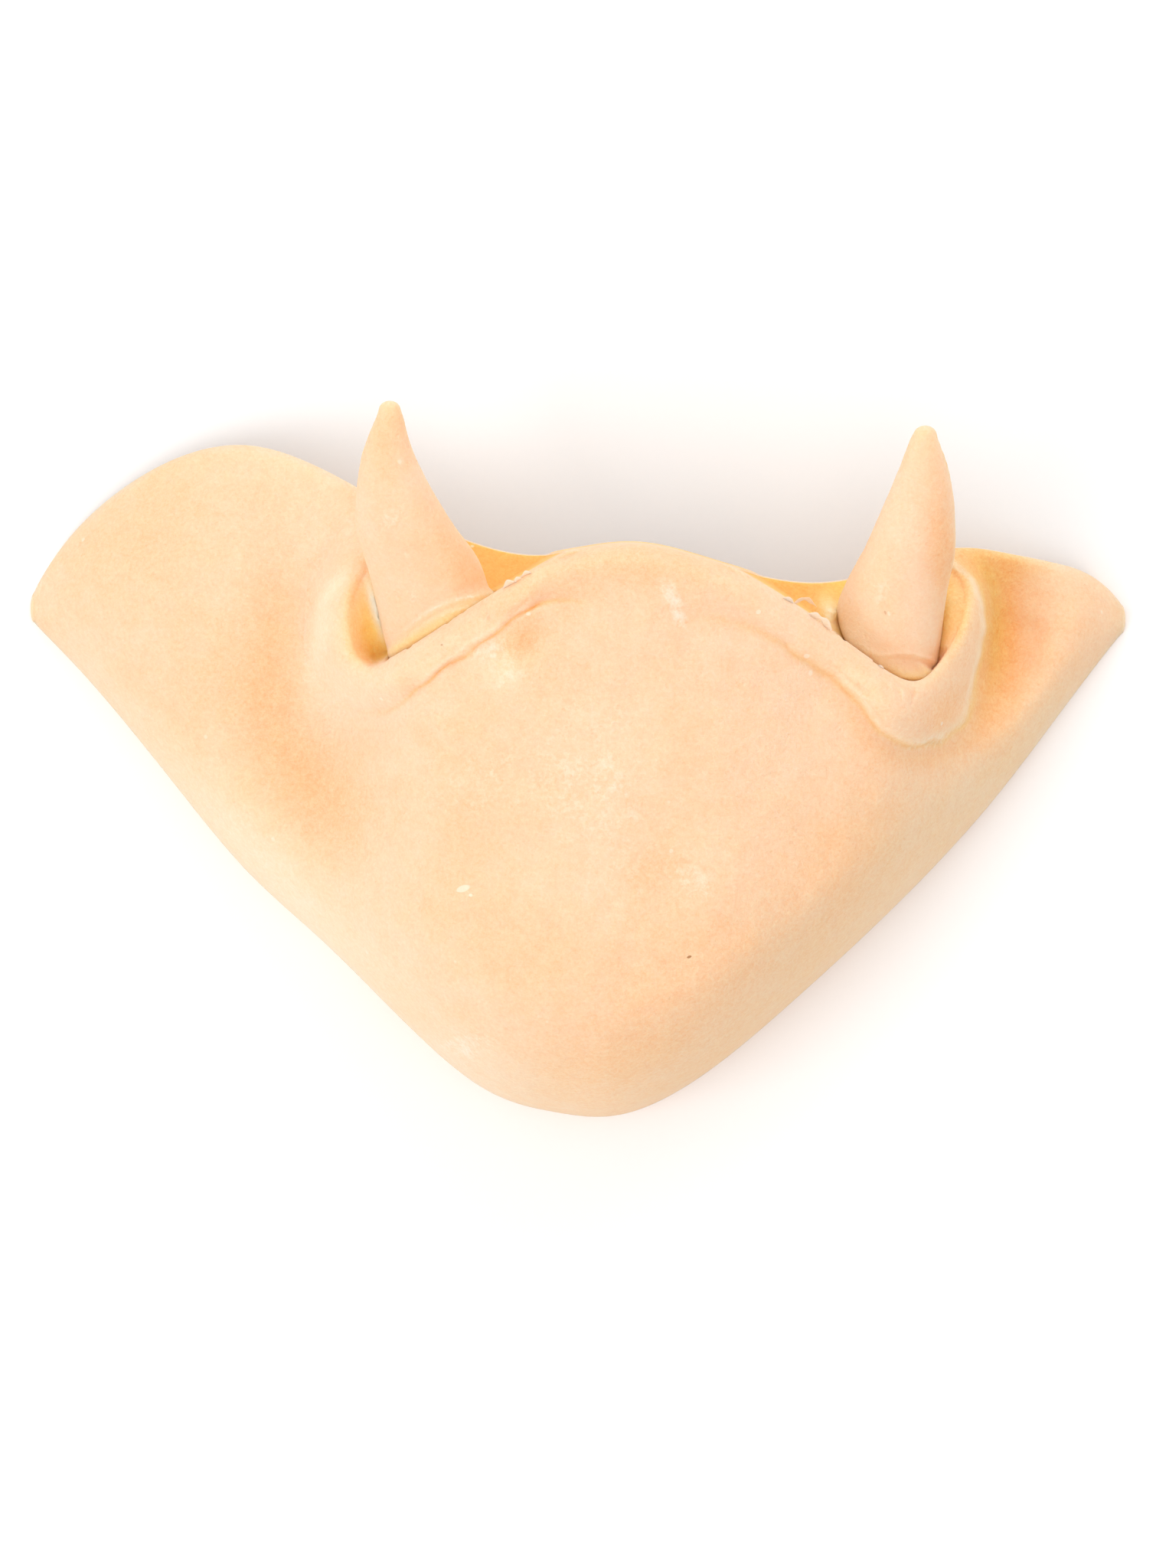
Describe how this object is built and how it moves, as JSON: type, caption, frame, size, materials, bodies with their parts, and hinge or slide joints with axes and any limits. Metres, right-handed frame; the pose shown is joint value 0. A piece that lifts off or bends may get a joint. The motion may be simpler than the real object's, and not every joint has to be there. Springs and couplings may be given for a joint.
{
  "type": "prosthetic chin",
  "caption": "Hollow latex chin piece with cheek wings, a rolled lower lip and blunt tusks standing behind it, glued over a wearer's chin and jaw as costume make-up.",
  "frame": {"origin": "middle of the piece in X and Y, on the surface that it lies on", "axes": "+X across the face to the right as seen from the front, +Y from the chin towards the mouth, +Z out of the face, which is up as it lies"},
  "size_m": [0.1184, 0.0781, 0.0375],
  "materials": {
    "latex_skin": "matt cast latex with a fine sandy grain",
    "latex_tusk": "smooth satin cast latex"
  },
  "bodies": {
    "root": {"chin_shell": "latex_skin", "tusk_left": "latex_tusk", "tusk_right": "latex_tusk"}
  },
  "joints": []
}
